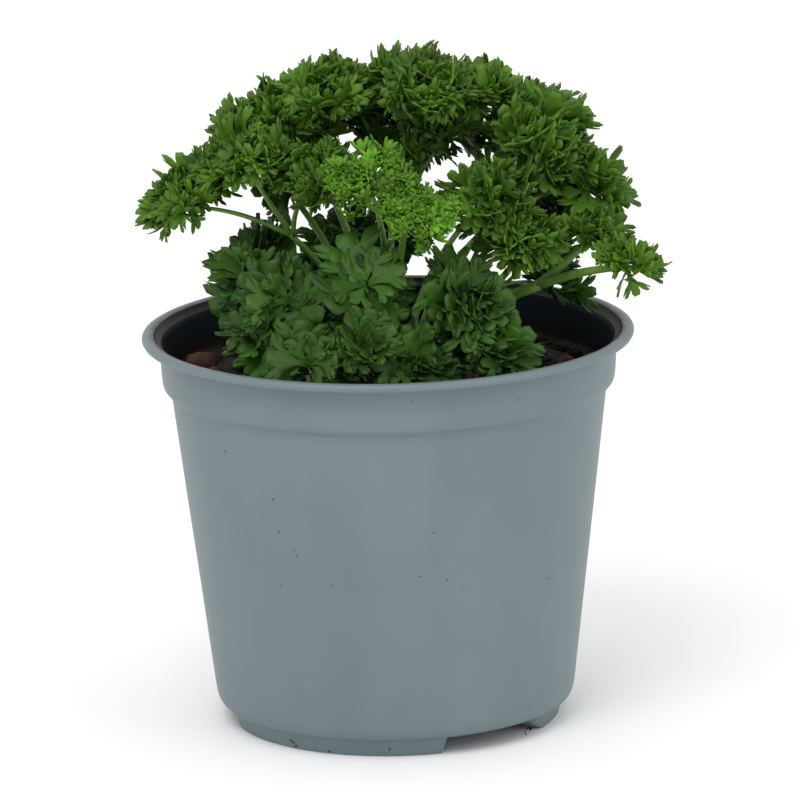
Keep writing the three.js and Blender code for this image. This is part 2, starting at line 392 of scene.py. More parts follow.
def pot_outside(settings):
    """Mottled satin plastic, with a plain lip, specks, a stain inside the lip and its seam."""
    finish = Finish("pot_outside")
    x, y, z = finish.axes()
    cloud = finish.noise(22.0, 4.0, 0.6)
    streak = finish.noise(1.0, 2.0, 0.5, finish.stretched((60.0, 60.0, 4.0)))
    grain = finish.noise(900.0, 2.0, 0.6)
    tone = cloud.between(0.3, 0.7) * 0.6 + streak.between(0.3, 0.7) * 0.4
    plain = finish.shades(settings.outside, 0.93, 1.08, tone)
    lip = z.between(settings.height - 3.2 * MM, settings.height - 2.0 * MM)
    color = finish.mix(plain, tuple(settings.outside), lip)
    spots = finish.node(
        "ShaderNodeTexVoronoi",
        {"feature": "F1"},
        {"Vector": finish.place(), "Scale": 210.0, "Randomness": 1.0},
    )
    rare = finish.noise(70.0, 1.0, 0.5)
    speck = (1 - spots.between(0.05, 0.10)) * rare.between(0.535, 0.56)
    color = finish.mix(color, (0.035, 0.028, 0.022), speck * 0.75)
    radius = (x * x + y * y).root()
    soiled = 1 - radius.between(settings.lip_radius - 2.5 * MM, settings.lip_radius - 1.4 * MM)
    soiled = soiled * finish.noise(150.0, 3.0, 0.6).between(0.25, 0.6)
    stain = soiled * z.between(settings.height - 1.6 * MM, settings.height - 0.9 * MM)
    color = finish.mix(color, (0.060, 0.034, 0.022), stain * 0.85)
    beside = (x * SEAM.y - y * SEAM.x).math("ABSOLUTE").between(0.25 * MM, 0.6 * MM)
    seam = (1 - beside) * lip * (1 - x.between(-5 * MM, 5 * MM))
    color = finish.mix(color, shade_of(settings.outside, 0.35), seam * 0.8)
    height = grain * 0.4 + cloud
    return finish.bumpy(color, 0.42 + cloud * 0.12, 0.45, height, 0.12, 0.0006)


def pot_inside(settings):
    """Dark plastic with painted light, lighter and bluer towards the rim, and painted shade on the
    lip's inner edge; dusty, and soiled where the soil meets it.
    """
    finish = Finish("pot_inside")
    z = finish.axes()[2]
    cloud = finish.noise(45.0, 4.0, 0.6)
    dust = finish.noise(420.0, 4.0, 0.7).between(0.66, 0.74)
    # Painted light: the inner wall is painted lighter and bluer from 16 mm below the rim upwards,
    # where light falls into the pot.
    painted_rim_light = z.between(settings.height - 16 * MM, settings.height - 3 * MM)
    color = finish.shades(settings.inside, 0.8, 1.5, cloud)
    color = finish.mix(color, (0.014, 0.024, 0.034), painted_rim_light * 0.7)
    # Painted shade: the top few millimetres of the inside, the lip's rounded inner edge, are
    # darkened almost to black.
    painted_lip_shade = z.between(settings.height - 4.5 * MM, settings.height - 3 * MM)
    color = finish.mix(color, (0.003, 0.004, 0.006), painted_lip_shade * 0.9)
    color = finish.mix(color, (0.08, 0.07, 0.06), dust * 0.3)
    low = 1 - z.between(SOIL_HIGH.z - 1.5 * MM, SOIL_HIGH.z + 3.5 * MM)
    color = finish.mix(color, (0.020, 0.013, 0.009), low * cloud.between(0.3, 0.6))
    return finish.bumpy(color, 0.5, 0.12, cloud, 0.1, 0.0006)


def soil_finish(settings):
    finish = Finish("moist_soil")
    coarse = finish.noise(160.0, 5.0, 0.65)
    fine = finish.noise(900.0, 3.0, 0.7)
    pale = finish.noise(520.0, 2.0, 0.5).between(0.70, 0.76)
    color = finish.shades(settings.soil, 0.55, 1.9, coarse)
    color = finish.mix(color, (0.11, 0.075, 0.05), pale * 0.4)
    return finish.bumpy(color, 0.86, 0.3, coarse + fine * 0.5, 0.8, 0.0012)


def clay_finish(settings):
    finish = Finish("clay_lump")
    coarse = finish.noise(210.0, 5.0, 0.6)
    fine = finish.noise(1100.0, 3.0, 0.7)
    color = finish.shades(settings.clay, 0.45, 1.5, coarse.between(0.3, 0.7))
    return finish.bumpy(color, 0.82, 0.3, coarse + fine * 0.4, 0.6, 0.0008)


def leaf_finish(name, color):
    """Leaf green: darker and lighter leaflets by their tone, which is partly random and partly
    painted shade deep in the plant, paler veins and fine mottling.
    """
    finish = Finish(name)
    tone = finish.attribute("tone")
    rib = finish.attribute("rib")
    mottle = finish.noise(420.0, 3.0, 0.6)
    green = finish.shades(color, 0.44, 1.62, tone)
    green = finish.mix(green, shade_of(color, 0.7), mottle.between(0.45, 0.75) * 0.35)
    vein = (color[0] * 1.9, color[1] * 1.45, color[2] * 1.7)
    green = finish.mix(green, vein, rib * 0.22)
    return finish.bumpy(green, 0.46 + mottle * 0.16, 0.26, mottle, 0.35, 0.0003)


def petiole_finish(name, color):
    """Petiole green: paler near the soil, with fine streaks along it."""
    finish = Finish(name)
    z = finish.axes()[2]
    streak = finish.noise(1.0, 2.0, 0.5, finish.stretched((900.0, 900.0, 40.0)))
    pale = 1 - z.between(SOIL_HIGH.z, SOIL_HIGH.z + 30 * MM)
    green = finish.shades(color, 0.75, 1.25, streak)
    green = finish.mix(green, (0.24, 0.36, 0.12), pale * 0.5)
    return finish.set(base_color=green, roughness=0.4, specular_ior_level=0.45)


# ---- pot ----


class PARSLEY_OT_pot(bpy.types.Operator):
    """Model the nursery pot with its lip, collar, feet and drain holes"""

    bl_idname = "parsley.pot"
    bl_label = "Pot"

    # Radius and height of each ring in millimetres, from under the base, up the outside, over the
    # lip and down the inside to the floor.
    rings = (
        (12, 4.7), (20, 4.7), (29.5, 4.7), (36.6, 4.7), (37.2, 4.5), (37.5, 4), (37.9, 0.6),
        (38.3, 0.1), (38.9, 0), (42.7, 0), (43.2, 0.1), (43.5, 0.5), (44.3, 4.3), (44.6, 4.65),
        (45.2, 4.8), (46, 5.1), (46.8, 5.8), (47.35, 6.9), (47.7, 8.4), (48.05, 11), (51.3, 38),
        (54.5, 64), (57.3, 87.2), (57.5, 88.8), (57.65, 89.5), (58.1, 90), (59.1, 90.7),
        (59.55, 91.3), (59.8, 92.3), (59.95, 93.6), (60.4, 101.6), (60.6, 102.3), (61.2, 102.6),
        (63.9, 102.7), (64.6, 102.95), (64.93, 103.5), (65, 104), (64.75, 104.55), (64.2, 104.88),
        (63.5, 105), (62.5, 104.93), (61.95, 104.65), (61.7, 104.1), (61.2, 103.5), (60, 103),
        (59.6, 102.2), (59.45, 101), (59, 93.8), (58.9, 92.7), (58.6, 92.1), (58.1, 91.5),
        (57.2, 90.7), (56.75, 90), (56.55, 88.8), (53.6, 64), (50.4, 38), (47.15, 11.5),
        (46.8, 8.9), (46.2, 7.4), (45.4, 6.3), (44.4, 5.75), (43.6, 5.6), (43, 5.2), (42.6, 1.1),
        (42.2, 0.95), (39.2, 0.95), (38.8, 1.1), (38.4, 5.2), (37.8, 5.6), (29.5, 5.6), (20, 5.6),
        (12, 5.6), (1, 5.6),
    )
    # Each gap between feet, in degrees from the front towards +X: where it starts and ends at the
    # base, and how far each of its ends leans in on the way down to the floor.
    gaps = ((17.7, 49.0, 1.4, 15.0), (145.0, 175.0, 3.0, 3.0), (260.0, 285.0, 3.0, 3.0))

    def lift(self, angle):
        """How much of the foot's height is cut away at this angle."""
        for start, end, lean_in, lean_out in self.gaps:
            into = ((angle - start + lean_in + 180) % 360) - 180
            out = end + lean_out - start + lean_in - into
            if into > 0 and out > 0:
                rise = min(1.0, into / lean_in, out / lean_out)
                return rise * rise * (3 - 2 * rise)
        return 0.0

    def execute(self, context):
        settings = context.scene.parsley_pot
        wide = settings.lip_radius / max(radius for radius, _ in self.rings)
        tall = settings.height / max(height for _, height in self.rings)
        pot = turn_profile(self.rings, settings.segments, wide, tall)
        self.cut_gaps(pot, tall)
        deselect()
        self.drill(pot)
        inside, outside = pot_inside(settings), pot_outside(settings)
        pot.data.materials.append(outside)
        pot.data.materials.append(inside)
        self.assign_inside(pot)
        finish_piece(pot, "nursery_pot", ["pot"], smooth_angle=40)
        return {"FINISHED"}

    def cut_gaps(self, pot, tall):
        """Raise the foot ring to the base where there is a gap between two feet."""
        shape = bmesh.from_edit_mesh(pot.data)
        base = self.rings[0][1] * tall
        for vert in shape.verts:
            depth = base - vert.co.z
            ring = math.hypot(vert.co.x, vert.co.y) / MM
            if depth <= 0 or not 37 < ring < 44.7:
                continue
            angle = math.degrees(math.atan2(vert.co.x, -vert.co.y))
            vert.co.z += min(depth, base) * self.lift(angle)
        bmesh.update_edit_mesh(pot.data)

    def drill(self, pot):
        for hole in range(6):
            angle = math.radians(60 * hole + 30)
            deselect()
            bpy.ops.mesh.primitive_cylinder_add(
                vertices=32,
                radius=4.5 * MM,
                depth=3 * MM,
                location=(25 * MM * math.cos(angle), 25 * MM * math.sin(angle), 5.2 * MM),
            )
            drill = bpy.context.object
            apply_modifier(pot, "BOOLEAN", object=drill, operation="DIFFERENCE", solver="EXACT")
            only(drill)
            bpy.ops.object.delete()

    def assign_inside(self, pot):
        """Give the inner wall and floor the inside's colour."""
        only(pot)
        edit("FACE")

        def inner(face):
            middle = face.calc_center_median()
            outward = Vector((middle.x, middle.y, 0))
            if middle.z < 5 * MM or outward.length > 61.9 * MM:
                return False
            return face.normal.z > 0.5 or face.normal.dot(outward.normalized()) < -0.2

        choose("faces", lambda faces: filter(inner, faces))
        pot.active_material_index = 1
        bpy.ops.object.material_slot_assign()
        deselect()


# ---- soil, crumbs, fibres and lumps ----


def soil_surface(x, y):
    """Height of the soil, with its mound round the stems."""
    top = SOIL_HIGH.z - SOIL_MOUND
    mound = 1.6 * MM * math.exp(-(x * x + y * y) / (500 * MM * MM))
    return top + mound + 0.5 * MM * math.sin(x / MM * 0.21 + 1) * math.cos(y / MM * 0.19)


def make_ball(segments, rings, size):
    """A ball of this size along each axis, left in edit mode with all of it selected."""
    deselect()
    bpy.ops.mesh.primitive_uv_sphere_add(
        segments=segments, ring_count=rings, radius=0.5, location=(0, 0, 0)
    )
    edit("VERT")
    bpy.ops.mesh.select_all(action="SELECT")
    bpy.ops.transform.resize(value=size, center_override=(0, 0, 0))
    return bpy.context.object


def make_crumb(name, stretch, seed):
    """One crumb, 1 m across, as a lumpy ball of a few dozen faces."""
    crumb = make_ball(8, 5, stretch)
    crumb.name = name
    bpy.ops.transform.vertex_random(offset=0.09, uniform=1.0, seed=seed)
    deselect()
    return crumb


def copy_of(master, matrix, tone=None):
    """A copy of a master piece with its own mesh, placed by a matrix."""
    mesh = master.data.copy()
    mesh.transform(matrix)
    if tone is not None:
        values = mesh.attributes["tone"].data
        values.foreach_set("value", [tone] * len(values))
    return add_object(master.name + "_copy", mesh)


def join(parts):
    """Join objects into the first of them."""
    spare = [part.data for part in parts[1:]]
    only(*parts)
    bpy.ops.object.join()
    for mesh in spare:
        bpy.data.meshes.remove(mesh)
    return bpy.context.object


def discard(*objects):
    """Delete objects with their data."""
    bpy.data.batch_remove([part for item in objects for part in (item, item.data)])


class PARSLEY_OT_soil(bpy.types.Operator):
    """Model the potting soil, its crumbs and its fibres"""

    bl_idname = "parsley.soil"
    bl_label = "Potting soil"

    def execute(self, context):
        settings = context.scene.parsley_soil
        material = soil_finish(settings)
        self.mass(material)
        self.crumbs(settings, material)
        self.fibres(settings)
        return {"FINISHED"}

    def mass(self, material):
        top = SOIL_HIGH.z - SOIL_MOUND
        low = SOIL_LOW.z + 0.3 * MM
        sides = [(44, low), (46.0, 9.5 * MM), (55.0, 88.5 * MM), (58.2, top - 0.3 * MM)]
        rows = [(57.9 - step * 1.0, top) for step in range(57)]
        soil = turn_profile(sides + rows, 160, MM, 1)
        shape = bmesh.from_edit_mesh(soil.data)
        for vert in shape.verts:
            if vert.co.z > top - 0.1 * MM:
                vert.co.z = soil_surface(vert.co.x, vert.co.y)
        bmesh.update_edit_mesh(soil.data)
        deselect()
        surface = soil.vertex_groups.new(name="surface")
        high = [v.index for v in soil.data.vertices if v.co.z > top - 1.2 * MM]
        surface.add(high, 1.0, "REPLACE")
        for size, strength in ((7.0, 3.4), (2.2, 1.5)):
            roughen(soil, size * MM, 2, "Z", strength * MM, vertex_group="surface")
        finish_piece(soil, "soil_mass", ["potting_soil"], material)

    def crumbs(self, settings, material):
        rng = random.Random(11)
        masters = [
            make_crumb("crumb_round", (1, 0.86, 0.78), 1),
            make_crumb("crumb_long", (1, 0.62, 0.55), 2),
            make_crumb("crumb_flat", (1, 0.8, 0.42), 3),
        ]
        copies = []
        for _ in range(settings.crumbs):
            angle = rng.uniform(0, 2 * math.pi)
            reach = SOIL_REACH * math.sqrt(rng.random())
            x, y = reach * math.cos(angle), reach * math.sin(angle)
            size = MM * rng.choice((1.2, 1.6, 2.0, 2.6, 3.4)) * rng.uniform(0.8, 1.2)
            rise = size * rng.uniform(0.0, 0.3)
            turn = Matrix.Rotation(rng.uniform(0, 6.28), 4, "Z") @ Matrix.Rotation(
                rng.uniform(0, 6.28), 4, "X"
            )
            place = Matrix.Translation((x, y, soil_surface(x, y) + rise))
            master = rng.choice(masters)
            copies.append(copy_of(master, place @ turn @ Matrix.Scale(size, 4)))
        for _ in range(26):
            places = (rng.uniform(-42, -36), rng.uniform(-30, 14), rng.uniform(50, 56))
            angle = math.radians(rng.choice(places))
            reach = rng.uniform(43.4, 44.1) * MM
            lift = rng.uniform(0.7, 2.2) * MM
            spot = Vector((reach * math.sin(angle), -reach * math.cos(angle), lift))
            size = rng.uniform(0.25, 0.6) * MM
            place = Matrix.Translation(spot) @ Matrix.Scale(size, 4)
            copies.append(copy_of(rng.choice(masters), place))
        crumbs = join(copies)
        finish_piece(crumbs, "soil_crumbs", material=material)
        discard(*masters)

    def fibres(self, settings):
        rng = random.Random(23)
        tubes = []
        for _ in range(settings.fibres):
            angle = rng.uniform(0, 2 * math.pi)
            reach = 55 * MM * math.sqrt(rng.random())
            spot = Vector((reach * math.cos(angle), reach * math.sin(angle), 0))
            way = Vector((math.cos(angle * 7), math.sin(angle * 7), 0))
            points = []
            for step in range(5):
                p = spot + way * (step - 2) * rng.uniform(0.9, 1.8) * MM
                if p.length > SOIL_REACH:
                    p *= SOIL_REACH / p.length
                lift = rng.uniform(0.7, 1.6) * MM
                points.append((Vector((p.x, p.y, soil_surface(p.x, p.y) + lift)), 0.14 * MM))
            tubes.append(points)
        fibres = make_tubes(tubes, 5)
        finish = Finish("peat_fibre")
        material = finish.set(base_color=(0.10, 0.055, 0.03), roughness=0.8)
        finish_piece(fibres, "peat_fibres", material=material)


class PARSLEY_OT_lumps(bpy.types.Operator):
    """Model the clay and bark lumps that lie on the soil"""

    bl_idname = "parsley.lumps"
    bl_label = "Clay lumps"

    def execute(self, context):
        material = clay_finish(context.scene.parsley_soil)
        for node in [name for name in NODES if name.startswith("clay_lump")]:
            low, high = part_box(node)
            lump = make_ball(32, 20, high - low)
            bpy.ops.transform.translate(value=(high + low) / 2)
            deselect()
            roughen(lump, 4.0 * MM, 3, "NORMAL", 2.6 * MM)
            finish_piece(lump, node + "_rough", [node], material)
        return {"FINISHED"}


# ---- petioles and stalks ----


def make_tubes(tubes, sides, ribbed=False):
    """Round tubes along lists of (point, radius), as one mesh."""
    path = bpy.data.curves.new("tubes", "CURVE")
    path.dimensions = "3D"
    path.resolution_u = 3
    path.use_fill_caps = True
    for points in tubes:
        spline = path.splines.new("NURBS")
        spline.points.add(len(points) - 1)
        for spot, (place, radius) in zip(spline.points, points):
            spot.co = (*place, 1)
            spot.radius = radius
        spline.order_u = min(4, len(points))
        spline.use_endpoint_u = True
        spline.use_smooth = True
    tube = add_object("tubes", path)
    section = make_section(sides, ribbed)
    path.bevel_mode = "OBJECT"
    path.bevel_object = section
    only(tube)
    bpy.ops.object.convert(target="MESH")
    tube = bpy.context.object
    edit("VERT")
    bpy.ops.mesh.select_all(action="SELECT")
    bpy.ops.mesh.remove_doubles(threshold=0.004 * MM)
    bpy.ops.mesh.normals_make_consistent(inside=False)
    deselect()
    discard(section)
    return tube


def make_section(sides, ribbed):
    """The outline that tubes are swept from: a circle of radius 1, with grooves if it is ribbed."""
    outline = bpy.data.curves.new("section", "CURVE")
    spline = outline.splines.new("POLY")
    spline.points.add(sides - 1)
    for side, spot in enumerate(spline.points):
        angle = 2 * math.pi * side / sides
        reach = 0.84 if ribbed and side % 2 else 1.0
        spot.co = (reach * math.cos(angle), reach * math.sin(angle), 0, 1)
    spline.use_cyclic_u = True
    return add_object("section", outline)


def world_points(node):
    """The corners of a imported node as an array, in metres."""
    mesh = frame["nodes"][node].data
    points = np.empty(len(mesh.vertices) * 3)
    mesh.vertices.foreach_get("co", points)
    return points.reshape(-1, 3)


def middle_and_reach(points):
    """The middle of an array of points, and how far the farthest of them is from it."""
    middle = points.mean(axis=0)
    return middle, float(np.linalg.norm(points - middle, axis=1).max())


def bow(start, bend, end, steps):
    """Places on a curve from start to end by way of bend, each with its share of the way."""
    shares = [step / (steps - 1) for step in range(steps)]
    return [(t, start * (1 - t) ** 2 + bend * 2 * t * (1 - t) + end * t * t) for t in shares]


class Cluster:
    """Where one leaf cluster sits: its middle, the way it faces and its radius."""

    def __init__(self, node, stem_base):
        points = np.unique(world_points(node).round(6), axis=0)
        middle, reach = middle_and_reach(points)
        self.node = node
        self.middle = Vector(middle) + Vector(NUDGE.get(node, (0, 0, 0))) * MM
        self.radius = reach * RESIZED.get(node, 1.0)
        axes = np.linalg.svd(points - middle)[2]
        self.up = Vector(axes[2]).normalized()
        outward = self.middle - stem_base
        if self.up.dot(outward.normalized() + Vector((0, 0, 1))) < 0:
            self.up.negate()
        self.hub = self.middle - self.up * self.radius * 0.25


class Frond:
    """One petiole with its clusters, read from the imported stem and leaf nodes."""

    def __init__(self, stem):
        self.stem = stem
        points = world_points(stem)
        low = points[points[:, 2] < points[:, 2].min() + 0.05 * MM]
        middle, reach = middle_and_reach(low)
        self.base = Vector(middle)
        self.radius = reach * THICKER.get(stem, 1.0)
        key = stem.replace("stem_", "leaf_")
        leaves = [n for n in NODES if n == key or n.rstrip("0123456789") == key + "_"]
        self.clusters = [Cluster(leaf, self.base) for leaf in leaves]
        crown = sum((c.middle for c in self.clusters), Vector()) / len(self.clusters)
        ground = Vector((self.base.x, self.base.y, SOIL_HIGH.z - SOIL_MOUND))
        self.fork = ground.lerp(crown, 0.62)
        self.fork.z += (crown.z - ground.z) * 0.08
        self.lift = Vector((ground.x, ground.y, ground.z + (self.fork.z - ground.z) * 0.55))

    def petiole(self):
        """Points up the petiole from the soil to the fork, with its radius at each."""
        curve = bow(self.base, self.lift, self.fork, 9)
        return [(spot, self.radius * (1 - 0.28 * t)) for t, spot in curve]

    def stalk(self, cluster):
        """Points along the stalk from the fork to a cluster's hub."""
        along = (self.fork - self.lift).normalized()
        start = self.fork - along * 1.2 * MM
        reach = (cluster.hub - start).length
        bend = (start + along * reach * 0.3).lerp(cluster.hub, 0.35)
        bend.z += reach * 0.06
        curve = bow(start, bend, cluster.hub, 6)
        return [(spot, self.radius * (0.68 - 0.26 * t)) for t, spot in curve]

    def twig(self, cluster, tuft):
        """A thin twig from the end of a cluster's stalk to one of its tufts."""
        thin = self.radius * 0.32
        middle = cluster.hub.lerp(tuft.root, 0.5) - cluster.up * 0.4 * MM
        return [(cluster.hub, thin), (middle, thin), (tuft.root, thin * 0.8)]


def all_fronds():
    return [Frond(name) for name in NODES if name.startswith("stem_")]


class PARSLEY_OT_stems(bpy.types.Operator):
    """Model the petioles and the stalks that carry the leaf clusters"""

    bl_idname = "parsley.stems"
    bl_label = "Petioles"

    def execute(self, context):
        settings = context.scene.parsley_plant
        finishes = {
            "petiole_green": petiole_finish("petiole", settings.petiole),
            "young_stem": petiole_finish("young_petiole", shade_of(settings.petiole, 1.45)),
        }
        for frond in all_fronds():
            tubes = [frond.petiole()]
            twigs = []
            for cluster in frond.clusters:
                tubes.append(frond.stalk(cluster))
                twigs.extend(frond.twig(cluster, tuft) for tuft in tufts_of(cluster, frond))
            stem = join([make_tubes(tubes, 10, ribbed=True), make_tubes(twigs, 5)])
            slot = SLOTS[frond.stem]
            name = frond.stem.replace("stem", "petiole")
            finish_piece(stem, name, [frond.stem], finishes[slot])
        return {"FINISHED"}


# ---- leaflets ----


# The measures of one lobe, in millimetres.
# rows: length, half-width and pitch in degrees of each row of the blade.
# side, tip and corners: steps of each finger outwards, forwards and upwards, with its taper.
# cup: how steeply the blade rises to its sides.
LobeShape = namedtuple("LobeShape", "rows side tip corners cup thickness")
# How far a lobe reaches along its middle.
LOBE_LENGTH = 6.6
LOBES = {
    "curled": LobeShape(
        ((1.6, 0.50, 8), (1.5, 1.40, 26), (1.3, 2.20, 48)),
        ((1.0, 0.6, 0.5, 1.0), (0.6, 0.4, 0.6, 0.62)),
        ((0, 1.0, 0.9, 1.05), (0, 0.7, 0.8, 0.62)),
        ((0.8, 0.8, 0.8, 1.3), (0.5, 0.5, 0.7, 0.62)),
        0.24, 0.26,
    ),
    "recurved": LobeShape(
        ((1.6, 0.50, 34), (1.4, 1.40, 12), (1.3, 2.10, -14)),
        ((1.0, 0.7, 0.3, 1.0), (0.6, 0.5, 0.0, 0.62)),
        ((0, 1.2, -0.3, 1.05), (0, 0.9, -0.5, 0.62)),
        ((0.8, 1.0, 0.1, 1.3), (0.5, 0.7, -0.3, 0.62)),
        -0.16, 0.26,
    ),
    "open": LobeShape(
        ((1.8, 0.50, 10), (1.6, 1.40, 14), (1.4, 2.30, 20)),
        ((1.3, 0.8, 0.3, 1.0), (0.7, 0.6, 0.3, 0.62)),
        ((0, 1.3, 0.4, 1.05), (0, 0.9, 0.3, 0.62)),
        ((1.0, 1.0, 0.4, 1.3), (0.6, 0.7, 0.3, 0.62)),
        0.14, 0.28,
    ),
    "broad": LobeShape(
        ((1.6, 0.55, 6), (1.4, 1.50, 8), (1.2, 2.40, 10)),
        ((1.2, 0.6, 0.1, 1.15), (0.6, 0.4, 0.1, 0.7)),
        ((0, 1.1, 0.2, 1.12), (0, 0.7, 0.1, 0.7)),
        ((0.9, 0.8, 0.2, 1.6), (0.4, 0.6, 0.1, 0.7)),
        0.08, 0.30,
    ),
    "moss": LobeShape(
        ((1.6, 0.50, 14), (1.4, 1.3, 40), (1.3, 2.0, 66)),
        ((0.9, 0.4, 0.8, 0.9), (0.5, 0.2, 0.7, 0.55)),
        ((0, 0.4, 1.2, 0.95), (0, 0.0, 0.8, 0.55)),
        ((0.7, 0.3, 0.9, 1.3), (0.4, 0.1, 0.7, 0.55)),
        0.28, 0.34,
    ),
}


def make_lobe(name, shape):
    """One lobe with five fingers, grown along +Y from the origin, face up, in millimetres."""
    deselect()
    bpy.ops.mesh.primitive_grid_add(x_subdivisions=4, y_subdivisions=1, size=1, location=(0, 0, 0))
    lobe = bpy.context.object
    lobe.name = name
    edit()
    first = shape.rows[0]
    bpy.ops.transform.resize(value=(2 * first[1], first[0], 1), center_override=(0, 0, 0))
    bpy.ops.transform.translate(value=(0, first[0] / 2, 0))
    centre = Vector((0, first[0], 0))
    width = first[1]
    choose_edges_at(row_points(centre, width, (-3, -1, 1, 3)))
    for length, half_width, pitch in shape.rows[1:]:
        turn = math.radians(pitch)
        step = Vector((0, length * math.cos(turn), length * math.sin(turn)))
        extrude(step)
        flank = centre + step / 2
        flank_width = (width + half_width) / 2
        centre = centre + step
        bpy.ops.transform.resize(value=(half_width / width, 1, 1), center_override=centre)
        width = half_width
    for side in (-1, 1):
        grow_finger(row_points(centre, width, (3 * side,)), shape.corners, side)
        grow_finger([flank + Vector((side * flank_width, 0, 0))], shape.side, side)
    grow_finger(row_points(centre, width, (-1, 1)), shape.tip, 0)
    deselect()
    mesh = lobe.data
    rib = mesh.attributes.new("rib", "FLOAT", "POINT")
    rib.data.foreach_set("value", [1.0 if abs(v.co.x) < 0.02 else 0.0 for v in mesh.vertices])
    mesh.attributes.new("tone", "FLOAT", "POINT")
    for vert in mesh.vertices:
        vert.co.z += shape.cup * abs(vert.co.x) + 0.14 * math.sin(2.6 * vert.co.y + 1.7 * vert.co.x)
    apply_modifier(lobe, "SOLIDIFY", thickness=shape.thickness, offset=0, use_even_offset=False)
    only(lobe)
    bpy.ops.object.shade_smooth()
    deselect()
    return lobe


def row_points(centre, half_width, quarters):
    """Middles of a row's edges, whose places across it are given in quarters of its half-width."""
    return [centre + Vector((half_width * quarter / 4, 0, 0)) for quarter in quarters]


def grow_finger(points, steps, side):
    """Extrude a finger from the edges at these points, outwards on this side."""
    choose_edges_at(points)
    centre = sum(points, Vector()) / len(points)
    for outward, forward, upward, taper in steps:
        step = Vector((side * outward, forward, upward))
        extrude(step)
        centre = centre + step
        bpy.ops.transform.resize(value=(taper, taper, taper), center_override=centre)


def turned_frame(along, up):
    """A rotation that takes +Y to along and +Z as near to up as it can."""
    y = along.normalized()
    x = y.cross(up)
    if x.length < 1e-4:
        x = y.cross(Vector((1, 0, 0)))
    x.normalize()
    z = x.cross(y)
    return Matrix((x, y, z)).transposed().to_4x4()


# How a cluster is filled with tufts of leaflets, and each leaflet with a fan of lobes.
# kinds: the lobes to choose from. tufts: how many tufts fill the cluster. bridges: tufts back along
# the stalk. leaflets and opening: leaflets of a tuft, and half the angle they open over. lobes and
# fan: lobes of a leaflet, and half the angle they fan over. tilt: how far a leaflet leans from its
# tuft's axis, least and most. size: of a lobe, against its own length. wild: how far leaflets
# stray. Angles are in degrees.
Filling = namedtuple("Filling", "kinds tufts bridges leaflets opening lobes fan tilt size wild")
# A few leaflets that grow from one point, opening about the way they point.
Tuft = namedtuple("Tuft", "root axis way tone")

FILLINGS = {
    "frilled": Filling(("curled", "curled", "recurved"), 11, 4, 4, 95, 3, 44, (12, 98), 1.22, 1.0),
    "large": Filling(("open", "open", "curled"), 7, 2, 3, 88, 3, 46, (34, 106), 1.34, 0.9),
    "sprig": Filling(("open", "curled"), 6, 2, 3, 85, 3, 46, (30, 98), 1.22, 0.7),
    "broad": Filling(("broad",), 5, 2, 3, 80, 3, 44, (58, 112), 1.72, 0.6),
    "loose": Filling(("open", "broad"), 6, 2, 3, 85, 3, 44, (46, 108), 1.58, 0.7),
    "hand": Filling(("broad",), 1, 2, 3, 92, 3, 40, (80, 92), 1.95, 0.12),
    "moss": Filling(("moss",), 30, 3, 5, 150, 3, 58, (10, 84), 0.76, 0.6),
}
FILLING_OF_STEM = {
    "stem_upper_right": "large",
    "stem_middle_right": "large",
    "stem_back_right": "large",
    "stem_lower_right": "loose",
    "stem_far_right": "sprig",
    "stem_low_right": "sprig",
    "stem_low_front_left": "broad",
}
FILLING_OF_SLOT = {"leaf_green": "frilled", "low_leaf": "broad", "young_leaf": "moss"}
# How wide a cluster's leaflets spread, against the plain cluster.
RESIZED = {
    "leaf_left_1": 0.74,
    "leaf_upper_right_3": 0.8,
    "leaf_far_right_2": 0.9,
    "leaf_middle_right_1": 0.9,
    "leaf_middle_right_2": 0.9,
    "leaf_low_back": 1.35,
}
THICKER = {"stem_far_right": 1.4, "stem_young": 1.15, "stem_left": 0.9}
BARE_STALKS = ("stem_left", "stem_young", "stem_far_right")
# How far a cluster's leaflets sit from the plain cluster's middle, in millimetres.
NUDGE = {
    "leaf_left_1": (3.4, 0, 2.6),
    "leaf_left_2": (-1.5, 0, 1.0),
    "leaf_middle_right_1": (4.0, 0, -3.0),
    "leaf_upper_right_3": (-5.0, 0, -1.5),
    "leaf_top_1": (1.0, 0, -1.2),
    "leaf_top_2": (0, 0, -1.2),
    "leaf_young_2": (-1.5, 0, 1.0),
    "leaf_low_back": (5.0, -3.0, 3.0),
    "leaf_lower_left_2": (3.0, 0, 1.0),
    "leaf_lower_left_3": (6.0, 0, 2.0),
}


def lobe_size(filling, cluster):
    """Length of a lobe of this cluster, against that of its master in millimetres."""
    return filling.size * (0.62 + 0.38 * cluster.radius / (13 * MM)) * MM


def filling_of(cluster, frond):
    if cluster.node == "leaf_front_1":
        return FILLINGS["hand"]
    return FILLINGS[FILLING_OF_STEM.get(frond.stem, FILLING_OF_SLOT[SLOTS[cluster.node]])]


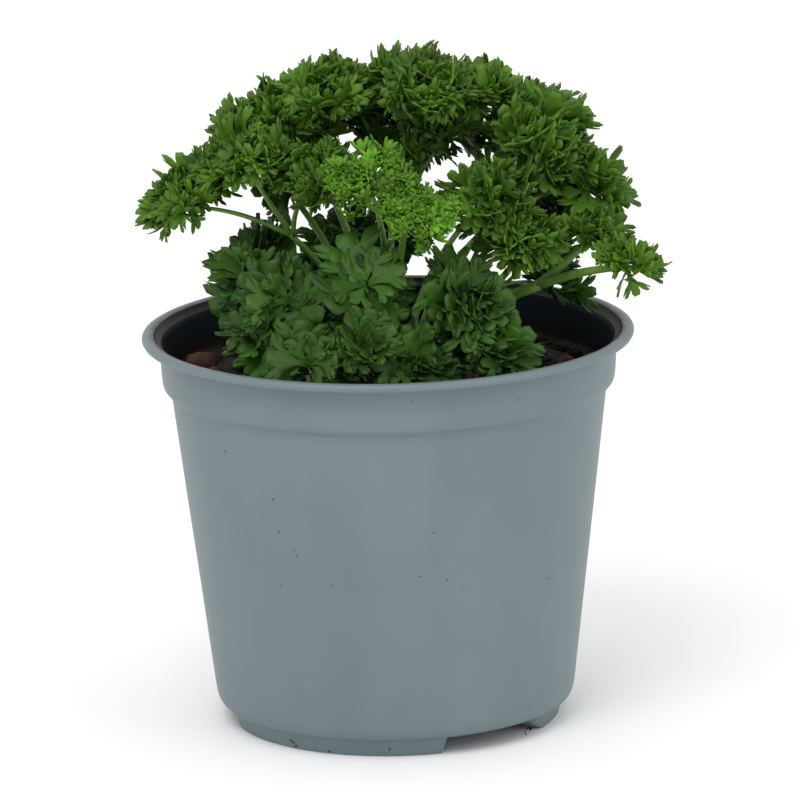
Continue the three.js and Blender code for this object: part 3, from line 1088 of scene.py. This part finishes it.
def tufts_of(cluster, frond):
    """The tufts of a cluster, the same each time they are asked for."""
    filling = filling_of(cluster, frond)
    rng = random.Random("tufts " + cluster.node)
    basis = turned_frame(cluster.up.orthogonal(), cluster.up)
    tufts = []
    golden = math.radians(137.5)
    turn = rng.uniform(0, 2 * math.pi)
    lobe = lobe_size(filling, cluster) / cluster.radius
    spread = max(0.3, 1.04 - 4.6 * lobe)
    for index in range(filling.tufts):
        share = math.sqrt(index / max(1, filling.tufts - 1))
        around = turn + index * golden + rng.uniform(-0.4, 0.4)
        out = spread * share * rng.uniform(0.85, 1.12)
        radial = (basis @ Vector((math.cos(around), math.sin(around), 0, 0))).xyz
        drop = 0.36 * out * out + 0.12 + rng.uniform(-0.16, 0.12)
        root = cluster.middle + (radial * out - cluster.up * drop) * cluster.radius
        axis = (cluster.up + radial * out * 1.1).normalized()
        way = radial if index else Vector((0, 0, 1))
        tufts.append(Tuft(root, axis, way, clamped(rng.gauss(0.5, 0.2))))
    path = frond.stalk(cluster)
    bridges = 0 if frond.stem in BARE_STALKS else filling.bridges
    for index in range(bridges):
        root = path[-2 - index][0] + cluster.up * 1.0 * MM
        lean = Vector((rng.uniform(-0.5, 0.5), rng.uniform(-0.5, 0.5), 0))
        axis = (cluster.up + lean).normalized()
        way = Vector((rng.uniform(-1, 1), rng.uniform(-1, 1), rng.uniform(-0.6, 0.2)))
        # Painted shade: these tufts deep in the plant get darker tones.
        tufts.append(Tuft(root, axis, way, rng.uniform(0.1, 0.4)))
    place = frond.clusters.index(cluster)
    if place and filling.tufts > 5:
        before = frond.clusters[place - 1]
        for share in (0.42, 0.62):
            root = cluster.hub.lerp(before.hub, share) + Vector((0, 0, rng.uniform(1.0, 3.0) * MM))
            way = (cluster.middle - before.middle).cross(cluster.up) * rng.choice((-1, 1))
            # Painted shade: tufts between clusters get somewhat darker tones.
            tufts.append(Tuft(root, cluster.up, way, rng.uniform(0.2, 0.6)))
    return tufts


def fan_shares(count):
    """Evenly spaced numbers from -1 to 1."""
    return [index / (count - 1) * 2 - 1 for index in range(count)]


def clamped(value):
    return min(1.0, max(0.0, value))


def clear_of_pot(tip):
    """Whether a lobe that ends here stays inside the pot's wall and above the soil."""
    if tip.z > LIP_CLEAR:
        return True
    return math.hypot(tip.x, tip.y) < SOIL_REACH and tip.z > soil_surface(tip.x, tip.y)


class PARSLEY_OT_leaves(bpy.types.Operator):
    """Model the lobes once and fill each leaf cluster with copies of them"""

    bl_idname = "parsley.leaves"
    bl_label = "Leaf clusters"

    def execute(self, context):
        settings = context.scene.parsley_plant
        finishes = {
            "leaf_green": leaf_finish("mature_leaf", settings.mature),
            "low_leaf": leaf_finish("low_leaf", settings.low),
            "young_leaf": leaf_finish("young_leaf", settings.young),
        }
        masters = {name: make_lobe(name + "_lobe", shape) for name, shape in LOBES.items()}
        for frond in all_fronds():
            for cluster in frond.clusters:
                filling = filling_of(cluster, frond)
                rng = random.Random("lobes " + cluster.node)
                copies = []
                for tuft in tufts_of(cluster, frond):
                    copies.extend(self.tuft(tuft, cluster, filling, masters, rng))
                slot = SLOTS[cluster.node]
                name = cluster.node.replace("leaf", "leaflets")
                finish_piece(join(copies), name, [cluster.node], finishes[slot])
        discard(*masters.values())
        return {"FINISHED"}

    def tuft(self, tuft, cluster, filling, masters, rng):
        """Copies of the lobes for each leaflet of a tuft."""
        across = tuft.way - tuft.axis * tuft.way.dot(tuft.axis)
        basis = turned_frame(across, tuft.axis)
        copies = []
        for share in fan_shares(filling.leaflets):
            around = math.radians(filling.opening * share) + rng.uniform(-0.3, 0.3)
            lean = math.radians(rng.uniform(*filling.tilt))
            level = Vector((math.sin(around), math.cos(around), 0)) * math.sin(lean)
            way = level + Vector((0, 0, math.cos(lean)))
            noise = Vector([rng.uniform(-filling.wild, filling.wild) for _ in range(3)])
            along = ((basis @ way.to_4d()).xyz + noise * 0.4).normalized()
            up = tuft.axis + noise * 0.7
            size = lobe_size(filling, cluster) * rng.uniform(0.78, 1.18)
            start = tuft.root + along * size * rng.uniform(0.0, 0.8)
            place = Matrix.Translation(start) @ turned_frame(along, up)
            tone = tuft.tone + rng.uniform(-0.15, 0.15)
            copies.extend(self.leaflet(place, size, tone, filling, masters, rng))
        return copies

    def leaflet(self, place, size, tone, filling, masters, rng):
        """Copies of the lobes, fanned out from the leaflet's start."""
        copies = []
        for share in fan_shares(filling.lobes):
            turn = math.radians(-filling.fan * share) + rng.uniform(-0.1, 0.1)
            fan = Matrix.Rotation(turn, 4, "Z")
            loose = 0.2 + 0.5 * filling.wild
            roll = Matrix.Rotation(rng.uniform(-loose, loose) - 0.3 * share, 4, "Y")
            pitch = Matrix.Rotation(rng.uniform(-loose, loose) * 0.6, 4, "X")
            scale = Matrix.Scale(size * (1.0 - 0.2 * abs(share)) * rng.uniform(0.88, 1.12), 4)
            shade = clamped(tone + rng.uniform(-0.18, 0.18))
            master = masters[rng.choice(filling.kinds)]
            matrix = place @ fan @ pitch @ roll @ scale
            if clear_of_pot(matrix @ Vector((0, LOBE_LENGTH, 0))):
                copies.append(copy_of(master, matrix, shade))
        return copies


# ---- stage ----


class PARSLEY_OT_stage(bpy.types.Operator):
    """Set up the floor, the lights and the camera"""

    bl_idname = "parsley.stage"
    bl_label = "Stage"

    def execute(self, context):
        settings = context.scene.parsley_stage
        self.floor(settings)
        self.world()
        self.lamp("key_softbox", (-0.5, -1.2, 1.7), 16.0)
        self.lamp("fill_softbox", (1.4, -1.0, 0.9), 4.0)
        context.scene.view_settings.view_transform = "Standard"
        self.camera(settings)
        return {"FINISHED"}

    def floor(self, settings):
        deselect()
        bpy.ops.mesh.primitive_plane_add(size=30, location=(0, 0, 0))
        floor = bpy.context.object
        floor.name = "floor"
        finish = Finish("pale_floor")
        floor.data.materials.append(finish.set(base_color=tuple(settings.floor), roughness=0.9))

    def world(self):
        world = bpy.data.worlds.new("studio")
        world.use_nodes = True
        background = world.node_tree.nodes["Background"]
        background.inputs["Color"].default_value = (1, 1, 1, 1)
        bpy.context.scene.world = world

    def lamp(self, name, place, power):
        light = bpy.data.lights.new(name, "AREA")
        light.shape = "DISK"
        light.size = 1.2
        light.energy = power
        lamp = add_object(name, light)
        lamp.location = place
        towards = Vector((0, 0, 0.09)) - Vector(place)
        lamp.rotation_euler = towards.to_track_quat("-Z", "Y").to_euler()

    def camera(self, settings):
        data = bpy.data.cameras.new("camera")
        data.sensor_width = 36
        data.lens = settings.lens
        data.clip_start = 0.1
        data.clip_end = 50
        camera = add_object("camera", data)
        target = Vector((2.8 * MM, 0, 85.4 * MM))
        angle = settings.elevation
        back = Vector((0, -math.cos(angle), math.sin(angle)))
        camera.location = target + back * settings.distance
        look = (-back).to_track_quat("-Z", "Y").to_matrix().to_4x4()
        camera.rotation_euler = (look @ Matrix.Rotation(settings.roll, 4, "Z")).to_euler()
        bpy.context.scene.camera = camera


# ---- the add-on ----


class PARSLEY_PT_panel(bpy.types.Panel):
    """Lists the steps that build the potted parsley"""

    bl_label = "Potted Parsley"
    bl_idname = "PARSLEY_PT_panel"
    bl_space_type = "VIEW_3D"
    bl_region_type = "UI"
    bl_category = "Parsley"

    def draw(self, context):
        scene = context.scene
        for operator in OPERATORS:
            self.layout.operator(operator.bl_idname)
        for name in GROUPS:
            settings = getattr(scene, name)
            box = self.layout.box()
            for item in settings.bl_rna.properties:
                if item.identifier not in {"rna_type", "name"}:
                    box.prop(settings, item.identifier)


GROUPS = {
    "parsley_pot": ParsleyPotSettings,
    "parsley_soil": ParsleySoilSettings,
    "parsley_plant": ParsleyPlantSettings,
    "parsley_stage": ParsleyStageSettings,
}
OPERATORS = (
    PARSLEY_OT_pot,
    PARSLEY_OT_soil,
    PARSLEY_OT_lumps,
    PARSLEY_OT_stems,
    PARSLEY_OT_leaves,
    PARSLEY_OT_stage,
)
CLASSES = (*GROUPS.values(), *OPERATORS, PARSLEY_PT_panel)


def register():
    for kind in CLASSES:
        bpy.utils.register_class(kind)
    for name, group in GROUPS.items():
        setattr(bpy.types.Scene, name, bpy.props.PointerProperty(type=group))


def unregister():
    for name in GROUPS:
        delattr(bpy.types.Scene, name)
    for kind in reversed(CLASSES):
        bpy.utils.unregister_class(kind)


def main():
    register()
    bpy.ops.parsley.pot()
    bpy.ops.parsley.soil()
    bpy.ops.parsley.lumps()
    bpy.ops.parsley.stems()
    bpy.ops.parsley.leaves()
    bpy.ops.parsley.stage()


if __name__ == "__main__":
    main()
